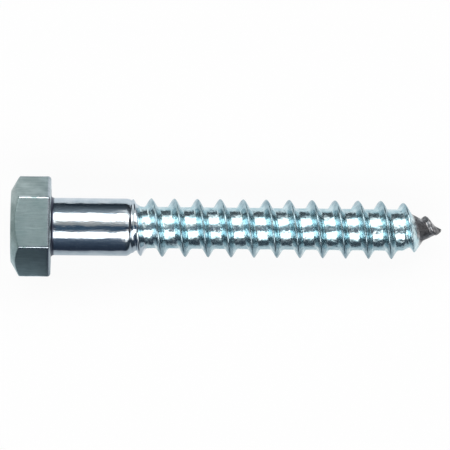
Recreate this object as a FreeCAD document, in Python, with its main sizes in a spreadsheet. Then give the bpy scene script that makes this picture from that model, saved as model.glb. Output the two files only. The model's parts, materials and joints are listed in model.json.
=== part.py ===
"""Hex lag screw, 3/8 in by 2-1/2 in, with a rolled wood thread and a gimlet point.

The screw is drawn along its own X axis: the face under the head is at X = 0, the head
reaches to -X and the point to +X. It is then laid on its side as it comes to rest, on a
wrench flat and a thread crest. Millimetres, +Z up.
"""
import FreeCAD, Part
import math
import os

import Sketcher

os.makedirs("parts", exist_ok=True)
doc = FreeCAD.newDocument("lag_screw")

# Driving dimensions, in millimetres, degrees and turns
SIZES = [
    ("across_flats", 14.24, "wrench size, nominal 9/16 in"),
    ("head_height", 6.46, "from the bearing face to the top of the head"),
    ("top_flat_diameter", 11.6, "round flat left on top by the chamfer"),
    ("chamfer_angle", 30.0, "slope of the chamfer against the top face"),
    ("hex_corner_radius", 0.35, "rounding of the six upright corners"),
    ("bearing_edge_radius", 0.3, "rounding of the hexagon's lower edge"),
    ("underhead_flare", 0.5, "height and width of the small cone between shank and head"),
    ("shank_diameter", 9.32, "plain shank, nominal 3/8 in"),
    ("shank_length", 12.4, "plain shank, from the bearing face"),
    ("shoulder_length", 2.1, "cone from the shank to the thread's root"),
    ("screw_length", 63.5, "from the bearing face to the point, 2-1/2 in"),
    ("root_diameter", 6.74, "core under the thread"),
    ("crest_diameter", 9.55, "outside of the thread"),
    ("thread_pitch", 3.731, "one turn of the thread"),
    ("crest_width", 0.3, "flat on top of the ridge"),
    ("flank_angle", 30.0, "each flank against the ridge's middle plane"),
    ("point_length", 6.3, "cone of the gimlet point"),
    ("point_diameter", 0.4, "blunt end of the point"),
    ("taper_length", 7.9, "stretch over which the crest comes down to the point"),
    ("taper_power", 1.77, "how full the crest's taper is"),
    ("end_angle", 248.0, "where the ridge meets the point, from +Y towards +Z"),
    ("run_in_turns", 1.5, "turns over which the ridge rises from the shoulder"),
    ("run_in_depth", 0.4, "how far the first crest stays under the full crest"),
    ("run_in_shift", 1.4, "how far the first crest stands nearer the point"),
]

sheet = doc.addObject("Spreadsheet::Sheet", "sizes")
for row, (alias, value, meaning) in enumerate(SIZES, start=1):
    sheet.set(f"A{row}", alias)
    sheet.set(f"B{row}", str(value))
    sheet.set(f"C{row}", meaning)
    sheet.setAlias(f"B{row}", alias)
doc.recompute()

# The ridge is drawn through this many points a turn
STEPS_PER_TURN = 16
# Rounds in which the flank's foot settles on a sloping core
SETTLING_STEPS = 4
# Depth by which the ridge is rooted in the core, so that the two join
ROOTING = 0.2
# Least step between two corners of the ridge's section, where it is sunk in the shank
LEAST_STEP = 0.03
# The ridge stops where it stands no higher than this above the point
LAST_HEIGHT = 0.1
# Corners of the ridge's section: base and crest towards the head, crest and base beyond
CORNERS = 4
# An edge this near a plane lies in it
IN_PLANE = 1e-4


def size(alias):
    """A driving dimension, read back from the sheet."""
    return float(sheet.get(alias))


def worked_out(formula):
    """The number that a formula of sizes stands for, as the document works it out."""
    return float(sheet.evalExpression(formula)) if formula else 0.0


def sketch_on(body, name, role):
    """A new sketch on one of the body's own base planes."""
    sketch = body.newObject("Sketcher::SketchObject", name)
    plane = next(f for f in body.Origin.OriginFeatures if f.Role == role)
    sketch.AttachmentSupport = [(plane, "")]
    sketch.MapMode = "FlatFace"
    return sketch


def hold(sketch, kind, start, end, formula):
    """A distance between two points of a sketch, tied to the sheet."""
    constraint = Sketcher.Constraint(kind, *start, *end, worked_out(formula))
    index = sketch.addConstraint(constraint)
    sketch.setExpression(f"Constraints[{index}]", formula)


def outline(sketch, corners):
    """A closed outline of straight lines, each corner held by its two formulas.

    An empty formula puts the corner on the axis, and a leading minus beyond it.
    """
    origin, axes = (-1, 1), {"DistanceX": -2, "DistanceY": -1}
    places = [FreeCAD.Vector(worked_out(x), worked_out(y), 0) for x, y in corners]
    for start, end in zip(places, places[1:] + places[:1]):
        sketch.addGeometry(Part.LineSegment(start, end), False)
    for i, formulas in enumerate(corners):
        previous = (i - 1) % len(corners)
        sketch.addConstraint(Sketcher.Constraint("Coincident", previous, 2, i, 1))
        for kind, formula in zip(axes, formulas):
            if not formula:
                on_axis = Sketcher.Constraint("PointOnObject", i, 1, axes[kind])
                sketch.addConstraint(on_axis)
            elif formula.startswith("-"):
                hold(sketch, kind, (i, 1), origin, formula[1:])
            else:
                hold(sketch, kind, origin, (i, 1), formula)


def hexagon(sketch, across_flats):
    """A regular hexagon with a corner on each side of the sketch's X axis."""
    radius = worked_out(across_flats) / math.sqrt(3)
    corners = []
    for i in range(6):
        turn = math.radians(60 * i)
        corners.append(FreeCAD.Vector(radius * math.cos(turn), radius * math.sin(turn), 0))
    for start, end in zip(corners, corners[1:] + corners[:1]):
        sketch.addGeometry(Part.LineSegment(start, end), False)
    up = FreeCAD.Vector(0, 0, 1)
    circle = sketch.addGeometry(Part.Circle(FreeCAD.Vector(), up, radius), True)
    sketch.addConstraint(Sketcher.Constraint("Coincident", circle, 3, -1, 1))
    for i in range(6):
        sketch.addConstraint(Sketcher.Constraint("Coincident", (i - 1) % 6, 2, i, 1))
        sketch.addConstraint(Sketcher.Constraint("PointOnObject", i, 1, circle))
        if i:
            sketch.addConstraint(Sketcher.Constraint("Equal", 0, i))
    sketch.addConstraint(Sketcher.Constraint("PointOnObject", 0, 1, -1))
    hold(sketch, "DistanceY", (5, 1), (1, 1), across_flats)


def spin(body, name, sketch, kind="PartDesign::Revolution"):
    """Turn a sketch a full circle about its own X axis."""
    feature = body.newObject(kind, name)
    feature.Profile = sketch
    feature.ReferenceAxis = (sketch, ["H_Axis"])
    feature.Angle = 360
    return feature


def fillet(body, name, base, formula, wanted):
    """Round the edges of a feature that pass a test."""
    doc.recompute()
    edges = base.Shape.Edges
    names = [f"Edge{i}" for i, edge in enumerate(edges, start=1) if wanted(edge)]
    feature = body.newObject("PartDesign::Fillet", name)
    feature.Base = (base, names)
    feature.setExpression("Radius", formula)
    return feature


def lies_at(edge, along):
    """Does an edge lie in the plane across the screw at this distance?"""
    box = edge.BoundBox
    return abs(box.XMin - along) < IN_PLANE and abs(box.XMax - along) < IN_PLANE


def forged_blank():
    """Head, shank, shoulder, core and bare point, before the thread is rolled."""
    body = doc.addObject("PartDesign::Body", "blank")

    head_outline = sketch_on(body, "head_outline", "YZ_Plane")
    hexagon(head_outline, "sizes.across_flats")
    head = body.newObject("PartDesign::Pad", "head")
    head.Profile = head_outline
    head.Reversed = True
    head.setExpression("Length", "sizes.head_height")
    fillet(
        body, "hex_corners", head, "sizes.hex_corner_radius",
        lambda edge: edge.BoundBox.XLength > size("head_height") / 2,
    )

    flat = "sizes.top_flat_diameter / 2"
    beyond = "sizes.across_flats"
    cut_depth = f"(sizes.head_height - ({beyond} - {flat}) * tan(sizes.chamfer_angle))"
    chamfer_outline = sketch_on(body, "chamfer_outline", "XZ_Plane")
    outline(chamfer_outline, [
        ("-sizes.head_height", flat),
        ("-sizes.head_height", beyond),
        (f"-{cut_depth}", beyond),
    ])
    spin(body, "chamfer", chamfer_outline, "PartDesign::Groove")

    root = "sizes.root_diameter / 2"
    core_end = "sizes.screw_length - sizes.point_length"
    stem_outline = sketch_on(body, "stem_outline", "XZ_Plane")
    outline(stem_outline, [
        ("", ""),
        ("", "sizes.shank_diameter / 2 + sizes.underhead_flare"),
        ("sizes.underhead_flare", "sizes.shank_diameter / 2"),
        ("sizes.shank_length", "sizes.shank_diameter / 2"),
        ("sizes.shank_length + sizes.shoulder_length", root),
        (core_end, root),
        ("sizes.screw_length", "sizes.point_diameter / 2"),
        ("sizes.screw_length", ""),
    ])
    stem = spin(body, "stem", stem_outline)
    fillet(
        body, "bearing_edge", stem, "sizes.bearing_edge_radius",
        lambda edge: lies_at(edge, 0) and on_rim(edge),
    )
    doc.recompute()
    return body


def on_rim(edge):
    """Is an edge on the hexagon's rim and not around the shank?"""
    middle = edge.CenterOfMass
    return math.hypot(middle.y, middle.z) > size("shank_diameter") / 2


def blank_radius(along):
    """Radius of shank, shoulder, core or point at a distance from the bearing face."""
    shank, root = size("shank_diameter") / 2, size("root_diameter") / 2
    blunt = size("point_diameter") / 2
    past_shank = (along - size("shank_length")) / size("shoulder_length")
    from_end = (size("screw_length") - along) / size("point_length")
    shoulder = shank + (root - shank) * min(max(past_shank, 0.0), 1.0)
    point = blunt + (root - blunt) * max(from_end, 0.0)
    return min(shoulder, point)


def ridge_middle(turns_in):
    """Where the ridge's middle plane stands, so many turns after its start."""
    start = size("shank_length") - size("run_in_shift")
    left_over = max(1 - turns_in / size("run_in_turns"), 0.0)
    shift = size("run_in_shift") * left_over ** 2
    return start + size("thread_pitch") * turns_in + shift


def ridge_angle(turns_in):
    """The angle of the ridge about the screw, from +Y towards +Z, in radians."""
    start = size("shank_length") - size("run_in_shift")
    turns_to_point = (size("screw_length") - start) / size("thread_pitch") - turns_in
    return math.radians(size("end_angle")) - math.tau * turns_to_point


def crest_radius(turns_in):
    """Radius of the ridge's top, which rises at the shoulder and falls at the point."""
    taper_start = size("screw_length") - size("taper_length")
    taper = (ridge_middle(turns_in) - taper_start) / size("taper_length")
    rise = min(turns_in / size("run_in_turns"), 1.0)
    low = size("run_in_depth") * (1 - rise * rise * (3 - 2 * rise))
    full = size("crest_diameter") / 2 - low
    return full * (1 - min(max(taper, 0.0), 1.0) ** size("taper_power"))


def ridge_height(turns_in):
    """How far the ridge stands above the core or point."""
    return crest_radius(turns_in) - blank_radius(ridge_middle(turns_in))


def ridge_section(turns_in):
    """The ridge's corners at one angle, as distance and radius, from head to point.

    Its flanks run on below the core, so that the two join.
    """
    middle, top = ridge_middle(turns_in), crest_radius(turns_in)
    full_height = (size("crest_diameter") - size("root_diameter")) / 2
    core = min(blank_radius(middle), size("root_diameter") / 2)
    share = min((top - core) / full_height, 1.0)
    flank = math.tan(math.radians(size("flank_angle")))
    crest_reach = share * size("crest_width") / 2
    corners = {}
    for side in (-1, 1):
        base_reach = crest_reach
        for _ in range(SETTLING_STEPS):
            ground = blank_radius(middle + side * base_reach)
            base = min(ground - share * ROOTING, top - LEAST_STEP)
            base_reach = crest_reach + (top - base) * flank
        corners[side] = [
            (middle + side * base_reach, base),
            (middle + side * crest_reach, top),
        ]
    return corners[-1] + corners[1][::-1]


def at_angle(turns_in, along, radius):
    """A corner of the ridge's section as a point in space."""
    angle = ridge_angle(turns_in)
    return FreeCAD.Vector(along, radius * math.cos(angle), radius * math.sin(angle))


def rail(samples, corner):
    """A smooth curve through one corner of the section at each sample."""
    points = [at_angle(turns, *ridge_section(turns)[corner]) for turns in samples]
    curve = Part.BSplineCurve()
    curve.interpolate(Points=points, Parameters=samples)
    return curve


def strip(one, other):
    """The face swept by a straight line between two rails."""
    surface = Part.BSplineSurface()
    surface.buildFromPolesMultsKnots(
        [one.getPoles(), other.getPoles()],
        [2, 2], one.getMultiplicities(), [0, 1], one.getKnots(),
        False, False, 1, one.Degree,
    )
    return surface.toShape()


def cap(turns_in):
    """The flat end of the ridge."""
    points = [at_angle(turns_in, *corner) for corner in ridge_section(turns_in)]
    return Part.Face(Part.makePolygon(points + points[:1]))


def thread_ridge():
    """The thread as one closed solid, rooted in the core and made turn by turn."""
    turns = 0.0
    while ridge_middle(turns) < size("screw_length") - size("point_length"):
        turns += 1 / STEPS_PER_TURN
    while ridge_height(turns) > LAST_HEIGHT:
        turns += 1 / STEPS_PER_TURN
    steps = round(turns * STEPS_PER_TURN)
    faces = [cap(0.0), cap(steps / STEPS_PER_TURN)]
    for first in range(0, steps, STEPS_PER_TURN):
        last = min(first + STEPS_PER_TURN, steps)
        samples = [step / STEPS_PER_TURN for step in range(first, last + 1)]
        rails = [rail(samples, corner) for corner in range(CORNERS)]
        for one, other in zip(rails, rails[1:] + rails[:1]):
            faces.append(strip(one, other))
    shell = Part.Shell(faces)
    shell.sewShape()
    solid = Part.Solid(shell)
    if solid.Volume < 0:
        solid.reverse()
    ridge = doc.addObject("Part::Feature", "thread_ridge")
    ridge.Shape = solid
    return ridge


def rest_tilt():
    """How far the axis dips towards the point when the screw lies on a wrench flat.

    The bearing edge and one crest touch the floor: the crest that leaves the least dip.
    """
    dips = []
    turns_in = 0.0
    while ridge_middle(turns_in) < size("screw_length"):
        along, top = max(ridge_section(turns_in), key=lambda corner: corner[::-1])
        drop = size("across_flats") / 2 + top * math.sin(ridge_angle(turns_in))
        span = along + size("bearing_edge_radius")
        dips.append(math.degrees(math.atan2(drop, span)))
        turns_in += 1 / STEPS_PER_TURN ** 2
    return min(dips)


def check(thing):
    """Stop if an object of the document has failed."""
    bad = {"Invalid", "Error"} & set(thing.State)
    if bad:
        raise RuntimeError(f"{thing.Label} has failed: {thing.State}")


def main():
    blank = forged_blank()
    ridge = thread_ridge()
    screw = doc.addObject("Part::Fuse", "screw")
    screw.Base = blank
    screw.Tool = ridge
    screw.Refine = False
    screw.Label = "lag_screw"
    tilt = rest_tilt()
    across = FreeCAD.Vector(0, 1, 0)
    screw.Placement = FreeCAD.Placement(FreeCAD.Vector(), FreeCAD.Rotation(across, tilt))
    doc.recompute()
    for thing in doc.Objects:
        check(thing)
    shape = screw.Shape
    if shape.isNull() or not shape.isValid() or len(shape.Solids) != 1:
        raise RuntimeError("the screw is not one valid solid")
    print(f"volume {shape.Volume:.1f} mm3, dip {tilt:.3f} degrees, box {shape.BoundBox}")
    shape.exportStep(f"parts/{screw.Label}.step")


main()
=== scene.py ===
import json
import logging
import math
from dataclasses import dataclass, field
from enum import Enum

import bpy
from mathutils import Matrix, Vector, noise


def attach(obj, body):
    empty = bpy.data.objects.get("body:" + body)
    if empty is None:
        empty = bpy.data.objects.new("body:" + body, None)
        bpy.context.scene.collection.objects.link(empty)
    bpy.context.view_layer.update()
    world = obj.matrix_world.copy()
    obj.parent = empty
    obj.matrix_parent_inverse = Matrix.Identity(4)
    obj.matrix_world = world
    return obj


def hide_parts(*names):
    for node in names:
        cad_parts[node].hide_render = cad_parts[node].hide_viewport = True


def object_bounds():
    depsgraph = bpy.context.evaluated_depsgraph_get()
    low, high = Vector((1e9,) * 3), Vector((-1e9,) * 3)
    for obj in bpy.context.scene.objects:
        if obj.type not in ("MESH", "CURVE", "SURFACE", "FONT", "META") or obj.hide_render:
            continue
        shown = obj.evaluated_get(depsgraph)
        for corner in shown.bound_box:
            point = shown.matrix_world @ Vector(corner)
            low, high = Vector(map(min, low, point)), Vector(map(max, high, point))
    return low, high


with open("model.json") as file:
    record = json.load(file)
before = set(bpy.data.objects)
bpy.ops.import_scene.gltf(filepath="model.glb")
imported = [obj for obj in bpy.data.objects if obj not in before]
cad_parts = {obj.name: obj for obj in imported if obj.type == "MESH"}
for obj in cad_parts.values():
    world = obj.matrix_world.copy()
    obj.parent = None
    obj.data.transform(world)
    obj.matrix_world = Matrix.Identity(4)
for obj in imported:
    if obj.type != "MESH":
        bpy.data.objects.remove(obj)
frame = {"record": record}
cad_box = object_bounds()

log = logging.getLogger("lag_screw")

MM = 0.001
TURN = math.tau
# A point nearer to a plane than this counts as lying on it, in millimetres.
ON_PLANE = 0.01
HEXAGON = 6
# Numbers of the Mix node's colour sockets, which share their names with its other sockets.
COLOUR_A = 6
COLOUR_B = 7
COLOUR_MIXED = 2
# The sRGB curve is a straight foot below its knee, and a power above it.
SRGB_KNEE = 0.04045
SRGB_FOOT = 12.92
SRGB_OFFSET = 0.055
SRGB_POWER = 2.4

# Where something starts to change, and where it has changed.
Span = tuple[float, float]
Point = tuple[float, float, float]


# Small helpers for node trees

def add_node(tree: bpy.types.NodeTree, kind: str, inputs: dict[str | int, object] | None = None,
             **settings: object) -> bpy.types.Node:
    """Add a node with its settings, values and links.

    Args:
        tree: The tree that gets the node.
        kind: Blender's name of the node type.
        inputs: Input sockets by name or number, each a value, a socket or a Field.
        settings: Attributes of the node itself.

    Returns:
        The new node.
    """
    node = tree.nodes.new(kind)
    for name, value in settings.items():
        setattr(node, name, value)
    for key, value in (inputs or {}).items():
        source = value.socket if isinstance(value, Field) else value
        if isinstance(source, bpy.types.NodeSocket):
            tree.links.new(source, node.inputs[key])
        else:
            node.inputs[key].default_value = source
    return node


def empty_tree(owner: bpy.types.Material | bpy.types.World) -> bpy.types.NodeTree:
    """Give a material or a world a node tree with nothing in it.

    Args:
        owner: The material or world.

    Returns:
        Its tree.
    """
    owner.use_nodes = True
    owner.node_tree.nodes.clear()
    return owner.node_tree


class Field:
    """A number in a node tree, with the arithmetic that a formula needs."""

    def __init__(self, tree: bpy.types.NodeTree, socket: bpy.types.NodeSocket) -> None:
        """Hold the socket that gives the number."""
        self.tree = tree
        self.socket = socket

    def math(self, operation: str, *others: "Field | float", **settings: object) -> "Field":
        """Put the number through one Math node.

        Args:
            operation: The Math node's operation.
            others: Its second and third number, each a value or a Field.
            settings: Further attributes of the node.

        Returns:
            The node's result.
        """
        inputs = dict(enumerate((self, *others)))
        node = add_node(self.tree, "ShaderNodeMath", inputs, operation=operation, **settings)
        return Field(self.tree, node.outputs[0])

    def __add__(self, other: "Field | float") -> "Field":
        """Sum."""
        return self.math("ADD", other)

    def __sub__(self, other: "Field | float") -> "Field":
        """Difference."""
        return self.math("SUBTRACT", other)

    def __mul__(self, other: "Field | float") -> "Field":
        """Product."""
        return self.math("MULTIPLY", other)

    def __truediv__(self, other: "Field | float") -> "Field":
        """Quotient."""
        return self.math("DIVIDE", other)

    def __pow__(self, other: "Field | float") -> "Field":
        """Power."""
        return self.math("POWER", other)

    def from_number(self, number: float) -> "Field":
        """A number less this one."""
        return self * -1.0 + number

    def clamped(self) -> "Field":
        """The number held between 0 and 1."""
        return self.math("ADD", 0.0, use_clamp=True)

    def smooth(self, start: float, end: float) -> "Field":
        """Turn the number into a soft step.

        Args:
            start: Where the step is still 0.
            end: Where it has reached 1. It lies below start where the step goes down.

        Returns:
            The step, from 0 to 1.
        """
        inputs = {"Value": self, "From Min": start, "From Max": end}
        node = add_node(self.tree, "ShaderNodeMapRange", inputs, interpolation_type="SMOOTHSTEP")
        return Field(self.tree, node.outputs["Result"])


def linear(hex_colour: str) -> tuple[float, float, float, float]:
    """Turn an sRGB hex colour into the linear one that sockets take.

    Args:
        hex_colour: Six hex digits after a hash mark.

    Returns:
        Red, green, blue and an alpha of 1.
    """
    values = []
    for start in (1, 3, 5):
        share = int(hex_colour[start:start + 2], 16) / 255
        curved = ((share + SRGB_OFFSET) / (1 + SRGB_OFFSET)) ** SRGB_POWER
        values.append(share / SRGB_FOOT if share <= SRGB_KNEE else curved)
    return (*values, 1.0)


# Sizes of the screw

@dataclass(frozen=True)
class Sizes:
    """Driving dimensions of the screw, in millimetres, degrees and turns.

    The ridge's first turns stand closer together: it starts run_in_shift further from the head
    than its pitch would put it, and run_in_depth low, and is in step after run_in_turns. Over
    taper_length it sinks into the point by a power law, and it would reach the screw's end at
    end_angle.
    """

    across_flats: float = 14.24
    head_height: float = 6.46
    top_flat_radius: float = 5.8
    chamfer_angle: float = 30.0
    corner_radius: float = 0.35
    shank_radius: float = 4.66
    shank_length: float = 12.4
    shoulder_length: float = 2.1
    length: float = 63.5
    root_radius: float = 3.37
    crest_radius: float = 4.775
    pitch: float = 3.731
    crest_width: float = 0.2
    flank_angle: float = 30.0
    point_length: float = 6.3
    point_radius: float = 0.2
    taper_length: float = 7.9
    taper_power: float = 1.77
    end_angle: float = 248.0
    run_in_turns: float = 1.5
    run_in_depth: float = 0.2
    run_in_shift: float = 1.4


@dataclass(frozen=True)
class Grid:
    """Into how many steps each stretch of the surface is divided."""

    around: int = 144
    across_thread: int = 36
    head_top: int = 10
    top_edge: int = 5
    chamfer: int = 5
    chamfer_edge: int = 5
    head_side: int = 12
    bearing_edge: int = 6
    bearing_face: int = 6
    underhead: int = 7
    shank: int = 14


class Placement:
    """The way the screw lies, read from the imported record."""

    def __init__(self, record: dict) -> None:
        """Find the shank's axis among the mounts.

        Args:
            record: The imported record.
        """
        shank = next(mount for mount in record["mounts"] if mount["name"] == "shank")
        across, _, down = shank["axis"]
        self.dip = math.atan2(-down, across)

    def matrix(self) -> Matrix:
        """From the screw's own millimetres to the frame's metres."""
        return Matrix.Rotation(self.dip, 4, "Y") @ Matrix.Scale(MM, 4)


# Finishes

class Coat:
    """A material in the making, with coordinates that lie along the screw, in millimetres."""

    def __init__(self, name: str, placement: Placement) -> None:
        """Start the material.

        Args:
            name: What it is called.
            placement: How the screw lies.
        """
        self.material = bpy.data.materials.new(name)
        self.tree = empty_tree(self.material)
        place = add_node(self.tree, "ShaderNodeTexCoord")
        self.own = add_node(self.tree, "ShaderNodeMapping", {
            "Vector": place.outputs["Object"],
            "Rotation": (0.0, -placement.dip, 0.0),
            "Scale": (1 / MM, 1 / MM, 1 / MM),
        })
        split = add_node(self.tree, "ShaderNodeSeparateXYZ", {0: self.own.outputs["Vector"]})
        self.along, self.aside, self.up = (Field(self.tree, split.outputs[axis]) for axis in "XYZ")

    def radius(self) -> Field:
        """Distance from the screw's axis."""
        return (self.aside * self.aside + self.up * self.up).math("SQRT")

    def clouds(self, width: float, detail: float = 3.0, stretch: float = 1.0) -> Field:
        """Lay a cloudy pattern over the screw.

        Args:
            width: How wide its largest patches are, in millimetres.
            detail: How many finer layers lie over them.
            stretch: How much longer the patches are along the screw than across it.

        Returns:
            The pattern, which stays between 0 and 1 and is 0.5 on average.
        """
        drawn = add_node(self.tree, "ShaderNodeMapping", {
            "Vector": self.own.outputs["Vector"],
            "Scale": (1 / stretch, 1.0, 1.0),
        })
        pattern = add_node(self.tree, "ShaderNodeTexNoise", {
            "Vector": drawn.outputs["Vector"], "Scale": 1 / width, "Detail": detail,
        })
        return Field(self.tree, pattern.outputs[0])

    def shader(self, finish: "Finish") -> bpy.types.NodeSocket:
        """The shader of one finish."""
        return finish.value.shader(self)

    def mixed(self, share: Field, first: bpy.types.NodeSocket,
              second: bpy.types.NodeSocket) -> bpy.types.NodeSocket:
        """Go from one shader to another as the share rises from 0 to 1."""
        mix = add_node(self.tree, "ShaderNodeMixShader", {0: share, 1: first, 2: second})
        return mix.outputs["Shader"]

    def finished(self, shader: bpy.types.NodeSocket) -> bpy.types.Material:
        """Close the material with its shader."""
        add_node(self.tree, "ShaderNodeOutputMaterial", {"Surface": shader})
        return self.material


@dataclass(frozen=True)
class ZincPlate:
    """Zinc electroplate on steel, as one way of making the steel leaves it.

    Lengths are in millimetres. The grain is a fine unevenness that the plating follows, and
    grain_stretch says how much longer it is along the screw than across it. The tint comes in
    patches, of which cloud_share follows wide clouds and the rest follows the grain.
    """

    colour: str
    tint: str
    roughness: float
    roughness_spread: float
    grain_width: float
    grain_stretch: float
    grain_height: float
    cloud_width: float
    grain_detail: float = 3.0
    cloud_share: float = 0.6
    tint_edge: Span = (0.35, 0.65)

    def shader(self, coat: Coat) -> bpy.types.NodeSocket:
        """Add the finish's nodes to a material.

        Args:
            coat: The material that gets them.

        Returns:
            The finish's shader.
        """
        grain = coat.clouds(self.grain_width, self.grain_detail, self.grain_stretch)
        cloud = coat.clouds(self.cloud_width)
        cloudy = cloud.smooth(*self.tint_edge) * self.cloud_share
        tinted = cloudy + grain.smooth(*self.tint_edge) * (1 - self.cloud_share)
        colour = add_node(coat.tree, "ShaderNodeMix", {
            0: tinted, COLOUR_A: linear(self.colour), COLOUR_B: linear(self.tint),
        }, data_type="RGBA")
        rough = (cloud + grain - 1.0) * self.roughness_spread + self.roughness
        bump = add_node(coat.tree, "ShaderNodeBump", {
            "Height": grain * (self.grain_height * MM), "Strength": 1.0, "Distance": 1.0,
        })
        shader = add_node(coat.tree, "ShaderNodeBsdfPrincipled", {
            "Base Color": colour.outputs[COLOUR_MIXED],
            "Metallic": 1.0,
            "Roughness": rough,
            "Normal": bump.outputs["Normal"],
        })
        return shader.outputs["BSDF"]


class Finish(Enum):
    """The finishes that the screw's plating has, from its head to its point; some also carry painted
    shade and painted highlights.
    """

    # Struck cold between dies, so the plating is matt and keeps the die's fine lines.
    FORGED = ZincPlate(
        colour="#A0B2B3", tint="#7E9192", roughness=0.36, roughness_spread=0.2,
        grain_width=0.3, grain_stretch=9.0, grain_height=0.012, cloud_width=3.0,
    )
    # Corners and bearing edge rubbed bright in the box, with a lighter colour that also paints a
    # highlight on them.
    BURNISHED_SHEEN = ZincPlate(
        colour="#C8D0D4", tint="#A8B2B8", roughness=0.2, roughness_spread=0.1,
        grain_width=0.3, grain_stretch=6.0, grain_height=0.01, cloud_width=1.2,
    )
    # Painted shade in the corner under the head: a dark bluish, matt colour that stands in for the
    # shade there.
    CORNER_SHADE = ZincPlate(
        colour="#5C6070", tint="#464A5A", roughness=0.34, roughness_spread=0.2,
        grain_width=0.8, grain_stretch=1.0, grain_height=0.02, cloud_width=1.5,
    )
    # Drawn wire, almost a mirror, with the long faint waves of drawing.
    DRAWN = ZincPlate(
        colour="#DDE3E8", tint="#C3CFD8", roughness=0.14, roughness_spread=0.12,
        grain_width=1.1, grain_stretch=3.0, grain_height=0.05, cloud_width=2.0,
    )
    # Rolled between dies, bright but uneven, with the blue-green cast of clear passivation.
    ROLLED = ZincPlate(
        colour="#E0F2F5", tint="#B0D3DC", roughness=0.25, roughness_spread=0.15,
        grain_width=0.9, grain_stretch=0.9, grain_height=0.11, cloud_width=1.4,
        grain_detail=1.0,
    )
    # The thread's ridge, painted darker and greener than its roots: painted shade that dims the crest's
    # highlight.
    CREST_SHADE = ZincPlate(
        colour="#BCD2D8", tint="#8EAAB4", roughness=0.24, roughness_spread=0.15,
        grain_width=0.9, grain_stretch=0.9, grain_height=0.07, cloud_width=1.4,
        grain_detail=1.0,
    )
    # Pinched to a point, where the plating is thin over torn steel and looks dark.
    PINCHED = ZincPlate(
        colour="#B4B2B3", tint="#4E4D50", roughness=0.36, roughness_spread=0.4,
        grain_width=0.5, grain_stretch=1.5, grain_height=0.05, cloud_width=0.9,
    )


# Head and shank

@dataclass(frozen=True)
class Corner:
    """A corner of an outline, its rounding and how the stretch after it is divided."""

    along: float
    radius: float
    rounding: float = 0.0
    arc_steps: int = 1
    straight_steps: int = 1


def rounded_path(corners: list[Corner]) -> list[tuple[float, float]]:
    """Round an outline's corners and divide its straight stretches.

    Args:
        corners: The outline's corners, in order.

    Returns:
        Points along the rounded outline, as many for any sizes.
    """
    places = [Vector((corner.along, corner.radius)) for corner in corners]
    arcs: list[list[Vector]] = []
    for i, corner in enumerate(corners):
        if not corner.rounding:
            arcs.append([places[i]])
            continue
        back = (places[i - 1] - places[i]).normalized()
        ahead = (places[i + 1] - places[i]).normalized()
        half = back.angle(ahead) / 2
        reach = corner.rounding / math.tan(half)
        middle = places[i] + (back + ahead).normalized() * (corner.rounding / math.sin(half))
        start = places[i] + back * reach - middle
        end = places[i] + ahead * reach - middle
        turn = start.angle_signed(end)
        steps = corner.arc_steps
        arcs.append([middle + Matrix.Rotation(-turn * k / steps, 2) @ start for k in range(steps + 1)])
    points: list[tuple[float, float]] = []
    for i, arc in enumerate(arcs):
        points += [tuple(point) for point in arc]
        if i + 1 < len(arcs):
            steps = corners[i].straight_steps
            gap = arcs[i + 1][0] - arc[-1]
            points += [tuple(arc[-1] + gap * (k / steps)) for k in range(1, steps)]
    return points


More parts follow.
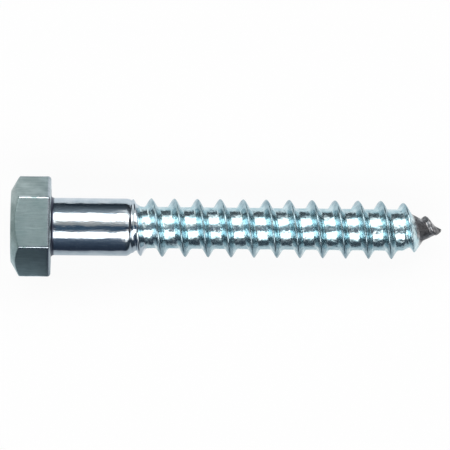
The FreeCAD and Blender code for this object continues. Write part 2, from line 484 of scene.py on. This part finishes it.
@dataclass(frozen=True)
class ForgedHead:
    """Hexagon head with its chamfer, bearing face and the plain shank under it.

    Sizes are in millimetres. Meridians crowd at the hexagon's corners, and over the last
    crowding_fade steps up to the shank's fillet they spread out evenly. The head is rubbed
    bright in patches at the radii of corner_wear_sheen, and all round the rim of its bearing face, and
    there a lighter colour also paints the edges' highlights. Painted shade darkens it near the
    shank, inside the radii of shade_ring.
    """

    sizes: Sizes
    grid: Grid
    shank_end: float
    top_edge_radius: float = 0.35
    chamfer_edge_radius: float = 0.28
    bearing_edge_radius: float = 0.55
    underhead_radius: float = 0.5
    corner_crowding: float = 0.8
    crowding_fade: int = 5
    dent_depth: float = 0.03
    dent_width: float = 2.6
    # Rubbed patches at the corners and the bearing rim, whose lighter colour also paints their
    # highlights.
    worn_patch_width: float = 1.2
    worn_patch_edge: Span = (0.35, 0.5)
    corner_wear_sheen: Span = (8.04, 8.12)
    bearing_wear_sheen_along: Span = (-0.6, -0.4)
    bearing_wear_sheen_out: Span = (6.2, 6.5)
    # Painted shade on the bearing face by the shank: where it starts along the axis, the radii it fades
    # over, and how strong it is.
    shade_along: Span = (-0.1, -0.02)
    shade_ring: Span = (5.9, 5.1)
    shade_share: float = 0.6

    def angle(self, share: float, crowding: float) -> float:
        """The angle of one meridian.

        Args:
            share: How far round the screw, from 0 to 1.
            crowding: 0 spaces the meridians evenly, and towards 1 they crowd at the corners.

        Returns:
            The angle in radians.
        """
        even = TURN * share
        return even - crowding * math.sin(HEXAGON * even) / HEXAGON

    def side_radius(self, angle: float) -> float:
        """Distance from the axis to the hexagon's side, with rounded corners.

        Args:
            angle: Direction about the axis, in radians, with a corner at 0.

        Returns:
            The distance in millimetres.
        """
        half_flat = self.sizes.across_flats / 2
        side_angle = TURN / HEXAGON
        half_side = side_angle / 2
        from_corner = abs((angle + half_side) % side_angle - half_side)
        centre = (half_flat - self.sizes.corner_radius) / math.cos(half_side)
        tangent = half_side - math.atan2(centre * math.sin(half_side), half_flat)
        if from_corner > tangent:
            return half_flat / math.cos(half_side - from_corner)
        aside = centre * math.sin(from_corner)
        return centre * math.cos(from_corner) + math.sqrt(self.sizes.corner_radius ** 2 - aside ** 2)

    def section(self, angle: float) -> list[tuple[float, float, float]]:
        """The outline of head and shank on one meridian.

        Args:
            angle: Direction about the axis, in radians.

        Returns:
            Points as distance along the axis, radius, and how far the meridians crowd there.
        """
        sizes, grid = self.sizes, self.grid
        side = self.side_radius(angle)
        top = -sizes.head_height
        slope = math.tan(math.radians(sizes.chamfer_angle))
        rim = top + (side - sizes.top_flat_radius) * slope
        points = rounded_path([
            Corner(top, 0.0, straight_steps=grid.head_top),
            Corner(top, sizes.top_flat_radius, self.top_edge_radius, grid.top_edge, grid.chamfer),
            Corner(rim, side, self.chamfer_edge_radius, grid.chamfer_edge, grid.head_side),
            Corner(0.0, side, self.bearing_edge_radius, grid.bearing_edge, grid.bearing_face),
            Corner(0.0, sizes.shank_radius, self.underhead_radius, grid.underhead, grid.shank),
            Corner(self.shank_end, sizes.shank_radius),
        ])
        crowded = len(points) - grid.shank - grid.underhead
        return [
            (along, radius, min(max((crowded - i) / self.crowding_fade, 0.0), 1.0))
            for i, (along, radius) in enumerate(points)
        ]

    def mesh(self) -> bpy.types.Mesh:
        """Build the surface from the middle of the head's top to the end of the shank.

        Returns:
            A mesh in millimetres, open only where the thread's surface takes over.
        """
        vertices: list[Vector] = [Vector((-self.sizes.head_height, 0, 0))]
        around = self.grid.around
        for j in range(around):
            plain = self.angle(j / around, self.corner_crowding)
            for along, radius, crowding in self.section(plain)[1:]:
                angle = self.angle(j / around, self.corner_crowding * crowding)
                place = Vector((along, radius * math.cos(angle), radius * math.sin(angle)))
                vertices.append(self.dented(place))
        rows = (len(vertices) - 1) // around
        faces: list[tuple[int, ...]] = []
        for j in range(around):
            here = 1 + j * rows
            there = 1 + (j + 1) % around * rows
            faces.append((0, there, here))
            for i in range(rows - 1):
                faces.append((here + i, there + i, there + i + 1, here + i + 1))
        mesh = bpy.data.meshes.new("head_and_shank")
        mesh.from_pydata(vertices, [], faces)
        return mesh

    def dented(self, place: Vector) -> Vector:
        """Press the forging's shallow unevenness into a point of the head.

        Args:
            place: The point on the true form.

        Returns:
            The point, never further out than before.
        """
        if place.x > -self.bearing_edge_radius:
            return place
        depth = self.dent_depth * (0.5 + 0.5 * noise.noise(place / self.dent_width))
        if place.x < -self.sizes.head_height + ON_PLANE:
            return place + Vector((depth, 0, 0))
        across = math.hypot(place.y, place.z)
        return place + Vector((0, -place.y, -place.z)) / across * depth

    def material(self, placement: Placement) -> bpy.types.Material:
        """Dress the head: matt from its dies, rubbed bright with painted highlights at its corners and
        rim, and painted shade by the shank.

        Args:
            placement: How the screw lies.

        Returns:
            The head's material.
        """
        coat = Coat("zinc_plated_forged_head", placement)
        radius = coat.radius()
        patchy = coat.clouds(self.worn_patch_width).smooth(*self.worn_patch_edge)
        edge = coat.along.smooth(*self.bearing_wear_sheen_along) * radius.smooth(*self.bearing_wear_sheen_out)
        # Rubbed corners and rim, partly real wear and partly a painted highlight.
        wear_and_sheen = (radius.smooth(*self.corner_wear_sheen) * patchy).math("MAXIMUM", edge)
        # Painted shade: the bearing face by the shank turns to the dark corner finish.
        shade_by_shank = coat.along.smooth(*self.shade_along) * radius.smooth(*self.shade_ring)
        head = coat.mixed(wear_and_sheen, coat.shader(Finish.FORGED), coat.shader(Finish.BURNISHED_SHEEN))
        corner_shade = coat.shader(Finish.CORNER_SHADE)
        return coat.finished(coat.mixed(shade_by_shank * self.shade_share, head, corner_shade))


# Thread

class Winding:
    """The numbers that the thread's grid needs, worked out from the sizes."""

    def __init__(self, sizes: Sizes, grid: Grid) -> None:
        """Find where the grid starts and how many turns it has.

        Args:
            sizes: The screw's sizes.
            grid: How finely the surface is divided.
        """
        self.ridge_start = sizes.shank_length - sizes.run_in_shift
        turns_to_point = (sizes.length - self.ridge_start) / sizes.pitch
        start_angle = math.radians(sizes.end_angle) / TURN - turns_to_point
        self.lead_in = 1 + start_angle % 1
        self.grid_start = sizes.shank_length + sizes.pitch * (0.5 - self.lead_in)
        turns = self.lead_in + turns_to_point + 0.5
        self.steps = math.ceil(turns * grid.around)
        self.turns = self.steps / grid.around


@dataclass
class Thread:
    """Shank end, shoulder, thread and gimlet point, wound by Geometry Nodes.

    Lengths are in millimetres. Before its start the ridge sinks by sinking for each turn. On
    the head's side its first flank falls at flank_at_start of the full slope, and over
    open_turns it takes the full slope. Towards the point both flanks lose tip_softening of
    their slope. The surface may pass the shank's radius by swell for each millimetre past the
    shank, and a blunt nose bounds it at the tip. The spans of rings, ripples and rolled_from
    are counted from the shank's end. ridge_crowding draws the grid's lines together at the
    crest. The bare point starts bare_length before the end, with a torn edge, and its edge
    winds with the thread but for a step back at the end of each turn.
    """

    sizes: Sizes
    grid: Grid
    sinking: float = 4.0
    root_hollow: float = 0.6
    crest_softness: float = 0.6
    shoulder_softness: float = 0.25
    swell: float = 0.3
    nose_bluntness: float = 0.4
    nose_slope: float = 1.2
    tip_softening: float = 0.5
    open_turns: Span = (0.3, 1.0)
    flank_at_start: float = 0.1
    ring_height: float = 0.05
    ring_length: float = 0.78
    rings_begin: Span = (0.1, 0.5)
    rings_end: Span = (2.0, 1.5)
    ripple_height: float = 0.014
    ripple_length: float = 0.62
    ripples_begin: Span = (2.5, 2.8)
    ripples_end: Span = (4.8, 4.3)
    ridge_crowding: float = 0.5
    weld_distance: float = 0.0003
    # Painted shade in the corner under the head: over this span from the bearing face the shank turns
    # to the dark corner finish.
    shade_along: Span = (0.65, 0.3)
    rolled_from: Span = (2.0, 2.7)
    rolled_slant: float = 0.7
    # Radii over which the thread's ridge takes its painted shade.
    crest_shade_radii: Span = (3.5, 4.3)
    bare_length: float = 6.3
    bare_edge: Span = (-0.2, 0.25)
    torn_width: float = 0.7
    torn_depth: float = 0.9
    step_back: Span = (0.8, 1.0)
    sockets: dict[str, str] = field(default_factory=dict)

    def __post_init__(self) -> None:
        """Work out the winding."""
        self.winding = Winding(self.sizes, self.grid)

    def inputs(self) -> dict[str, float]:
        """Gather what shapes the stem.

        Returns:
            The tree's named inputs and their values, in millimetres and turns.
        """
        sizes, winding = self.sizes, self.winding
        return {
            "Turns": winding.turns,
            "Lead-in turns": winding.lead_in,
            "Grid start": winding.grid_start,
            "Ridge start": winding.ridge_start,
            "Pitch": sizes.pitch,
            "Length": sizes.length,
            "Shank radius": sizes.shank_radius,
            "Shank length": sizes.shank_length,
            "Shoulder length": sizes.shoulder_length,
            "Root radius": sizes.root_radius,
            "Crest radius": sizes.crest_radius,
            "Crest width": sizes.crest_width,
            "Flank rise": 1 / math.tan(math.radians(sizes.flank_angle)),
            "Run-in turns": sizes.run_in_turns,
            "Run-in depth": sizes.run_in_depth,
            "Run-in shift": sizes.run_in_shift,
            "Taper length": sizes.taper_length,
            "Taper power": sizes.taper_power,
            "Point length": sizes.point_length,
            "Point radius": sizes.point_radius,
            "Sinking": self.sinking,
            "Root hollow": self.root_hollow,
            "Crest softness": self.crest_softness,
            "Shoulder softness": self.shoulder_softness,
            "Swell": self.swell,
            "Nose bluntness": self.nose_bluntness,
            "Nose slope": self.nose_slope,
            "Tip softening": self.tip_softening,
            "Flank at start": self.flank_at_start,
            "Ring height": self.ring_height,
            "Ring length": self.ring_length,
            "Ripple height": self.ripple_height,
            "Ripple length": self.ripple_length,
        }

    def tree(self, finish: bpy.types.Material) -> bpy.types.NodeTree:
        """Build the tree that winds the thread and welds it to the shank.

        Args:
            finish: The material of everything past the bearing face.

        Returns:
            The Geometry Nodes tree.
        """
        tree = bpy.data.node_groups.new("thread_winder", "GeometryNodeTree")
        interface = tree.interface
        interface.new_socket("Geometry", in_out="INPUT", socket_type="NodeSocketGeometry")
        interface.new_socket("Geometry", in_out="OUTPUT", socket_type="NodeSocketGeometry")
        for name in self.inputs():
            item = interface.new_socket(name, in_out="INPUT", socket_type="NodeSocketFloat")
            self.sockets[name] = item.identifier
        given = add_node(tree, "NodeGroupInput")
        value = {name: Field(tree, given.outputs[name]) for name in self.inputs()}

        sheet = add_node(tree, "GeometryNodeMeshGrid", {
            "Size X": 1.0, "Size Y": 1.0,
            "Vertices X": self.grid.across_thread + 1, "Vertices Y": self.winding.steps + 1,
        })
        position = add_node(tree, "GeometryNodeInputPosition")
        split = add_node(tree, "ShaderNodeSeparateXYZ", {0: position.outputs[0]})
        across = Field(tree, split.outputs["X"]) + 0.5
        wound = (Field(tree, split.outputs["Y"]) + 0.5) * value["Turns"]

        # Each row of the sheet reaches from one root to the next, so the grid follows the ridge.
        turns_in = wound - value["Lead-in turns"]
        low = self.grid_line(turns_in, value)
        high = self.grid_line(turns_in + 1.0, value)
        crowd = (across * TURN).math("SINE") * (self.ridge_crowding / TURN)
        along = low + (high - low) * (across + crowd)

        angle = wound * TURN
        radius = self.radius(along, turns_in, value)
        place = add_node(tree, "ShaderNodeCombineXYZ", {
            "X": along, "Y": radius * angle.math("COSINE"), "Z": radius * angle.math("SINE"),
        })
        wind = add_node(tree, "GeometryNodeSetPosition", {
            "Geometry": sheet.outputs["Mesh"], "Position": place.outputs[0],
        })
        outwards = add_node(tree, "GeometryNodeFlipFaces", {"Mesh": wind.outputs["Geometry"]})
        joined = add_node(tree, "GeometryNodeJoinGeometry", {"Geometry": given.outputs["Geometry"]})
        tree.links.new(outwards.outputs["Mesh"], joined.inputs["Geometry"])
        welded = add_node(tree, "GeometryNodeMergeByDistance", {
            "Geometry": joined.outputs["Geometry"], "Distance": self.weld_distance,
        })
        real = add_node(tree, "GeometryNodeRealizeInstances", {"Geometry": welded.outputs["Geometry"]})
        dressed = add_node(tree, "GeometryNodeSetMaterial", {
            "Geometry": real.outputs["Geometry"],
            "Selection": Field(tree, split.outputs["X"]).math("GREATER_THAN", ON_PLANE),
            "Material": finish,
        })
        add_node(tree, "NodeGroupOutput", {"Geometry": dressed.outputs["Geometry"]})
        return tree

    def middle(self, turns_in: Field, value: dict[str, Field]) -> Field:
        """Follow the ridge along the screw.

        Args:
            turns_in: Turns since the ridge's start.
            value: The tree's inputs.

        Returns:
            Where the ridge's middle plane stands.
        """
        left_over = (turns_in / value["Run-in turns"]).from_number(1.0).clamped()
        shift = left_over * left_over * value["Run-in shift"]
        return value["Ridge start"] + turns_in * value["Pitch"] + shift

    def grid_line(self, turns_in: Field, value: dict[str, Field]) -> Field:
        """The line half way between two turns, held between the shank and the point."""
        line = self.middle(turns_in, value) - value["Pitch"] * 0.5
        return line.math("MAXIMUM", value["Grid start"]).math("MINIMUM", value["Length"])

    def core(self, along: Field, value: dict[str, Field]) -> Field:
        """The shank, shoulder, core and point, before the thread.

        Args:
            along: Distance from the bearing face.
            value: The tree's inputs.

        Returns:
            Their radius.
        """
        past = (along - value["Shank length"]) / value["Shoulder length"]
        drop = value["Shank radius"] - value["Root radius"]
        cone = value["Shank radius"] - drop * past
        shoulder = cone.math("SMOOTH_MAX", value["Root radius"], value["Shoulder softness"])
        left = value["Length"] - along
        rise = (value["Root radius"] - value["Point radius"]) / value["Point length"]
        point = left * rise + value["Point radius"]
        body = shoulder.math("SMOOTH_MIN", value["Shank radius"], value["Shoulder softness"])
        return body.math("MINIMUM", value["Shank radius"]).math("MINIMUM", point)

    def ridge(self, along: Field, turns_in: Field, value: dict[str, Field]) -> Field:
        """The thread's ridge, which rises out of the shoulder and sinks into the point.

        Args:
            along: Distance from the bearing face.
            turns_in: Turns since the ridge's start.
            value: The tree's inputs.

        Returns:
            Its radius, which falls below the core's between two turns.
        """
        taper_start = value["Length"] - value["Taper length"]
        middle = self.middle(turns_in, value)
        taper = ((middle - taper_start) / value["Taper length"]).clamped() ** value["Taper power"]
        rise = (turns_in / value["Run-in turns"]).smooth(0.0, 1.0)
        before = (turns_in * -1.0).math("MAXIMUM", 0.0)
        low = value["Run-in depth"] * rise.from_number(1.0) + before * value["Sinking"]
        top = (value["Crest radius"] - low) * taper.from_number(1.0)
        off = (along - middle).math("ABSOLUTE") - value["Crest width"] * 0.5
        opening = turns_in.smooth(*self.open_turns)
        closed = opening.from_number(1.0) * value["Flank at start"].from_number(1.0)
        filled = (middle - along).math("GREATER_THAN", 0.0) * closed
        slack = (taper * value["Tip softening"]).from_number(1.0)
        flank = top - off * value["Flank rise"] * filled.from_number(1.0) * slack
        return flank.math("SMOOTH_MIN", top, value["Crest softness"])

    def radius(self, along: Field, turns_in: Field, value: dict[str, Field]) -> Field:
        """The whole surface, with the ridge, the hollows at its foot and the rolling marks.

        Args:
            along: Distance from the bearing face.
            turns_in: Turns since the ridge's start.
            value: The tree's inputs.

        Returns:
            Its distance from the axis.
        """
        left = (value["Length"] - along).math("MAXIMUM", 0.0)
        hollow = (left / value["Point length"]).clamped() * value["Root hollow"]
        ridge = self.ridge(along, turns_in, value)
        form = self.core(along, value).math("SMOOTH_MAX", ridge, hollow)
        marked = form + self.marks(along, value)
        nose = (left * value["Nose bluntness"]).math("SQRT") + left * value["Nose slope"]
        swell = (along - value["Shank length"]).math("MAXIMUM", 0.0) * value["Swell"]
        return marked.math("MINIMUM", nose).math("MINIMUM", value["Shank radius"] + swell)

    def marks(self, along: Field, value: dict[str, Field]) -> Field:
        """Rings that the rolling dies leave on the shoulder, and ripples in the first root.

        Args:
            along: Distance from the bearing face.
            value: The tree's inputs.

        Returns:
            Their height.
        """
        past = along - value["Shank length"]
        shoulder = past.smooth(*self.rings_begin) * past.smooth(*self.rings_end)
        rings = (past / value["Ring length"] * TURN).math("SINE") * shoulder * value["Ring height"]
        root = past.smooth(*self.ripples_begin) * past.smooth(*self.ripples_end)
        ripples = (past / value["Ripple length"] * TURN).math("SINE") * root
        return rings + ripples * value["Ripple height"]

    def material(self, placement: Placement) -> bpy.types.Material:
        """Dress the stem: drawn shank with painted shade under the head, rolled thread with painted
        shade on its crest, and pinched point.

        Args:
            placement: How the screw lies.

        Returns:
            The stem's material.
        """
        coat = Coat("zinc_plated_stem", placement)
        radius = coat.radius()
        slant = coat.aside / radius * self.rolled_slant
        threaded = (coat.along - self.sizes.shank_length + slant).smooth(*self.rolled_from)
        # Turns about the axis, counted from straight below.
        turned = (coat.up.math("ARCTAN2", coat.aside) / TURN + 0.25).math("FRACT")
        wound = (turned - turned.smooth(*self.step_back)) * self.sizes.pitch
        torn = (coat.clouds(self.torn_width) - 0.5) * self.torn_depth
        bare_start = wound + (self.sizes.length - self.bare_length)
        pinched = (coat.along - bare_start + torn).smooth(*self.bare_edge)
        # Painted shade in the fillet under the head.
        corner_shade = coat.along.smooth(*self.shade_along)
        # Painted shade on the thread's ridge.
        crest = radius.smooth(*self.crest_shade_radii)
        shank = coat.mixed(corner_shade, coat.shader(Finish.DRAWN), coat.shader(Finish.CORNER_SHADE))
        thread = coat.mixed(crest, coat.shader(Finish.ROLLED), coat.shader(Finish.CREST_SHADE))
        stem = coat.mixed(threaded, shank, thread)
        return coat.finished(coat.mixed(pinched, stem, coat.shader(Finish.PINCHED)))


# The whole screw

@dataclass(frozen=True)
class LagScrew:
    """The screw in one piece: headed and rolled from one wire, then zinc plated."""

    placement: Placement
    sizes: Sizes = Sizes()
    grid: Grid = Grid()
    name: str = "lag_screw_plated"

    def mesh(self) -> bpy.types.Mesh:
        """Wind the thread on to the head and lay the screw down.

        Returns:
            One closed mesh, in metres, with its two materials.
        """
        thread = Thread(self.sizes, self.grid)
        head = ForgedHead(self.sizes, self.grid, thread.winding.grid_start)
        raw = bpy.data.objects.new("raw_screw", head.mesh())
        bpy.context.scene.collection.objects.link(raw)
        raw.data.materials.append(head.material(self.placement))
        modifier = raw.modifiers.new("thread", "NODES")
        modifier.node_group = thread.tree(thread.material(self.placement))
        for name, value in thread.inputs().items():
            modifier[thread.sockets[name]] = value
        # The raw object goes with its modifier, and its evaluated mesh stays.
        ready = raw.evaluated_get(bpy.context.evaluated_depsgraph_get())
        mesh = bpy.data.meshes.new_from_object(ready)
        bpy.data.objects.remove(raw)
        mesh.name = self.name
        mesh.transform(self.placement.matrix())
        mesh.shade_smooth()
        return mesh

    def piece(self) -> bpy.types.Object:
        """Put the screw in the frame.

        Returns:
            The finished piece, riding on the screw's body.
        """
        piece = bpy.data.objects.new(self.name, self.mesh())
        bpy.context.scene.collection.objects.link(piece)
        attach(piece, "root")
        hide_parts("lag_screw")
        log.info("%s: %d faces", piece.name, len(piece.data.polygons))
        return piece


# Table, lamps, cards and camera

def shown(tree: bpy.types.NodeTree) -> Field:
    """Tell the rays that see the background, by eye or through the metal.

    Args:
        tree: The tree of a material or a world.

    Returns:
        1 for such rays, and 0 for those that carry light.
    """
    ray = add_node(tree, "ShaderNodeLightPath")
    seen = Field(tree, ray.outputs["Is Camera Ray"])
    seen = seen.math("MAXIMUM", Field(tree, ray.outputs["Is Glossy Ray"]))
    return seen.math("MAXIMUM", Field(tree, ray.outputs["Is Transmission Ray"]))


def flat_sheet(name: str, centre: Vector, half_u: Vector, half_v: Vector) -> bpy.types.Object:
    """A flat rectangle that belongs to the studio.

    Args:
        name: What it is called.
        centre: Its middle, in metres.
        half_u: From the middle to one side.
        half_v: From the middle to a neighbouring side.

    Returns:
        The sheet.
    """
    corners = [centre + half_u * a + half_v * b for a, b in ((-1, -1), (1, -1), (1, 1), (-1, 1))]
    mesh = bpy.data.meshes.new(name)
    mesh.from_pydata(corners, [], [(0, 1, 2, 3)])
    sheet = bpy.data.objects.new(name, mesh)
    bpy.context.scene.collection.objects.link(sheet)
    return sheet


@dataclass(frozen=True)
class Softbox:
    """A long softbox parallel to the screw.

    It leans so many degrees from straight above towards +Y, and spreads over so many degrees
    as the screw sees it. Its lengths are in metres. It hangs at distance from the X axis, with
    its middle at along. A strength of 1 is white.
    """

    name: str
    lean: float
    spread: float
    strength: float = 2.3
    distance: float = 0.9
    length: float = 3.6
    along: float = 0.03

    def build(self) -> None:
        """Hang the softbox over the screw."""
        width = 2 * self.distance * math.tan(math.radians(self.spread) / 2)
        light = bpy.data.lights.new(self.name, "AREA")
        light.shape = "RECTANGLE"
        light.size = self.length
        light.size_y = width
        light.energy = self.strength * math.pi * self.length * width
        lamp = bpy.data.objects.new(self.name, light)
        turn = math.radians(self.lean)
        lamp.location = (self.along, self.distance * math.sin(turn), self.distance * math.cos(turn))
        lamp.rotation_euler = (-turn, 0.0, 0.0)
        lamp.visible_camera = False
        bpy.context.scene.collection.objects.link(lamp)


@dataclass(frozen=True)
class Card:
    """A flat card that only mirroring metal sees, in millimetres.

    From its middle it reaches half_u to one side and half_v to the next. The metal sees its
    colour go from start to end in the direction of half_v.
    """

    name: str
    start: str
    end: str
    centre: Point
    half_u: Point
    half_v: Point

    def build(self) -> None:
        """Set up the card, which neither lights nor shades the table."""
        centre = Vector(self.centre) * MM
        half_v = Vector(self.half_v) * MM
        card = flat_sheet(self.name, centre, Vector(self.half_u) * MM, half_v)
        material = bpy.data.materials.new(self.name)
        tree = empty_tree(material)
        place = add_node(tree, "ShaderNodeTexCoord")
        scale = half_v / half_v.length_squared
        run = add_node(tree, "ShaderNodeVectorMath", {
            0: place.outputs["Object"], 1: scale,
        }, operation="DOT_PRODUCT")
        share = ((Field(tree, run.outputs["Value"]) - centre.dot(scale)) * 0.5 + 0.5).clamped()
        colour = add_node(tree, "ShaderNodeMix", {
            0: share * share, COLOUR_A: linear(self.start), COLOUR_B: linear(self.end),
        }, data_type="RGBA")
        glow = add_node(tree, "ShaderNodeEmission", {
            "Color": colour.outputs[COLOUR_MIXED], "Strength": 1.0,
        })
        add_node(tree, "ShaderNodeOutputMaterial", {"Surface": glow.outputs[0]})
        card.data.materials.append(material)
        card.visible_camera = False
        card.visible_diffuse = False
        card.visible_shadow = False


@dataclass(frozen=True)
class Studio:
    """Pale table and room, two softboxes, and the cards round the screw.

    Lengths are in metres. The table is seen as white by the share glow, and over shadow_reach
    that share rises to 1, so that the screw's faint shadow stays near it. The room is seen as
    white and lights the screw by the share fill.
    """

    table_height: float
    half_table: float = 3.0
    white: str = "#FEFEFE"
    glow: float = 0.92
    shadow_reach: Span = (0.12, 0.6)
    fill: float = 0.12
    softboxes: tuple[Softbox, ...] = (
        Softbox("softbox_far", lean=34.0, spread=31.0),
        Softbox("softbox_near", lean=-41.0, spread=29.0),
    )

    def build(self) -> None:
        """Set up everything round the screw."""
        self.table()
        self.room()
        for item in (*self.softboxes, *self.cards()):
            item.build()

    def table(self) -> None:
        """A plain pale table top, which keeps a faint shadow of the screw."""
        half = self.half_table
        centre = Vector((0.0, 0.0, self.table_height))
        top = flat_sheet("table", centre, Vector((half, 0, 0)), Vector((0, half, 0)))
        material = bpy.data.materials.new("pale_matt_table")
        tree = empty_tree(material)
        colour = linear(self.white)
        lit = add_node(tree, "ShaderNodeBsdfDiffuse", {"Color": colour})
        pale = add_node(tree, "ShaderNodeEmission", {"Color": colour, "Strength": 1.0})
        place = add_node(tree, "ShaderNodeTexCoord")
        reach = add_node(tree, "ShaderNodeVectorMath", {0: place.outputs["Object"]}, operation="LENGTH")
        away = Field(tree, reach.outputs["Value"]).smooth(*self.shadow_reach)
        share = shown(tree) * (away * (1.0 - self.glow) + self.glow)
        mixed = add_node(tree, "ShaderNodeMixShader", {
            0: share, 1: lit.outputs[0], 2: pale.outputs[0],
        })
        add_node(tree, "ShaderNodeOutputMaterial", {"Surface": mixed.outputs[0]})
        top.data.materials.append(material)

    def room(self) -> None:
        """Pale surroundings, seen as white and giving a weaker fill light."""
        world = bpy.data.worlds.new("pale_room")
        bpy.context.scene.world = world
        tree = empty_tree(world)
        strength = shown(tree) * (1.0 - self.fill) + self.fill
        back = add_node(tree, "ShaderNodeBackground", {
            "Color": linear(self.white), "Strength": strength,
        })
        add_node(tree, "ShaderNodeOutputWorld", {"Surface": back.outputs[0]})

    def cards(self) -> tuple[Card, ...]:
        """Plan the cards: along both sides, on the table, at both ends and beside the camera.

        Returns:
            The cards, some for the shank and some for the thread, which mirror other tones.
        """
        floor = self.table_height / MM
        return (
            Card("shank_far_card", "#16242F", "#9EACB6",
                 centre=(5.5, 40, floor + 21.3), half_u=(7.5, 0, 0), half_v=(0, 0, 21.3)),
            Card("thread_far_card", "#22282E", "#646C74",
                 centre=(76.5, 40, floor + 13), half_u=(63.5, 0, 0), half_v=(0, 0, 13)),
            Card("shank_near_card", "#2A3443", "#5A6C80",
                 centre=(-33.5, -22, floor + 13.5), half_u=(46.5, 0, 0), half_v=(0, 0, 13.5)),
            Card("thread_near_card", "#26303A", "#404C58",
                 centre=(76.5, -22, floor + 9), half_u=(63.5, 0, 0), half_v=(0, 0, 9)),
            Card("far_mat", "#E8EEF2", "#C4CCD2",
                 centre=(69, 22.5, floor + 0.2), half_u=(71, 0, 0), half_v=(0, 17.5, 0)),
            Card("near_mat", "#C6CED3", "#868D96",
                 centre=(69, -13.5, floor + 0.2), half_u=(71, 0, 0), half_v=(0, -8.5, 0)),
            Card("near_head_mat", "#F2FAFF", "#DCECF8",
                 centre=(-42, -13.5, floor + 0.2), half_u=(40, 0, 0), half_v=(0, -8.5, 0)),
            Card("point_card", "#3C3F44", "#3C3F44",
                 centre=(95, 0, 42), half_u=(0, 50, 0), half_v=(0, 0, 38)),
            Card("head_card", "#B8C0BE", "#B8C0BE",
                 centre=(-26, 0, 12), half_u=(0, 50, 0), half_v=(0, 0, 19)),
            Card("shank_camera_card", "#385268", "#385268",
                 centre=(-430, -123.5, 450), half_u=(470, 0, 0), half_v=(0, 108.5, 0)),
            Card("thread_camera_card", "#2E3A4A", "#2E3A4A",
                 centre=(490, -80, 450), half_u=(450, 0, 0), half_v=(0, 65, 0)),
            Card("shank_ceiling_card", "#9E9E9C", "#BCBBB6",
                 centre=(-430, 67, 452), half_u=(470, 0, 0), half_v=(0, 82, 0)),
            Card("thread_ceiling_card", "#5C6C78", "#A4B4BC",
                 centre=(490, 25, 452), half_u=(450, 0, 0), half_v=(0, 40, 0)),
        )


@dataclass(frozen=True)
class Viewpoint:
    """Where the photograph was taken from, in millimetres and degrees."""

    target: Point = (28.2, 0.54, -1.2)
    elevation: float = 84.8
    roll: float = 0.4
    seen_width: float = 73.09
    lens: float = 250.0
    sensor: float = 36.0
    nearest: float = 10.0
    farthest: float = 20000.0

    def matrix(self) -> Matrix:
        """Work out the camera's place and direction.

        Returns:
            Its matrix in the frame, in metres.
        """
        distance = self.seen_width * self.lens / self.sensor * MM
        lean = math.radians(90 - self.elevation)
        back = Vector((0.0, -math.sin(lean), math.cos(lean)))
        place = Vector(self.target) * MM + back * distance
        turn = Matrix.Rotation(lean, 4, "X") @ Matrix.Rotation(math.radians(self.roll), 4, "Z")
        return Matrix.Translation(place) @ turn

    def camera(self) -> None:
        """Put the camera where the photograph's was."""
        lens = bpy.data.cameras.new("camera")
        lens.sensor_width = self.sensor
        lens.lens = self.lens
        lens.clip_start = self.nearest * MM
        lens.clip_end = self.farthest * MM
        camera = bpy.data.objects.new("camera", lens)
        bpy.context.scene.collection.objects.link(camera)
        camera.matrix_world = self.matrix()
        bpy.context.scene.camera = camera


def main() -> None:
    """Build the screw, then the studio and the camera."""
    logging.basicConfig(level=logging.INFO, format="%(name)s %(message)s")
    bpy.context.scene.view_settings.view_transform = "Standard"
    LagScrew(Placement(frame["record"])).piece()
    Studio(table_height=cad_box[0].z).build()
    Viewpoint().camera()


if __name__ == "__main__":
    main()
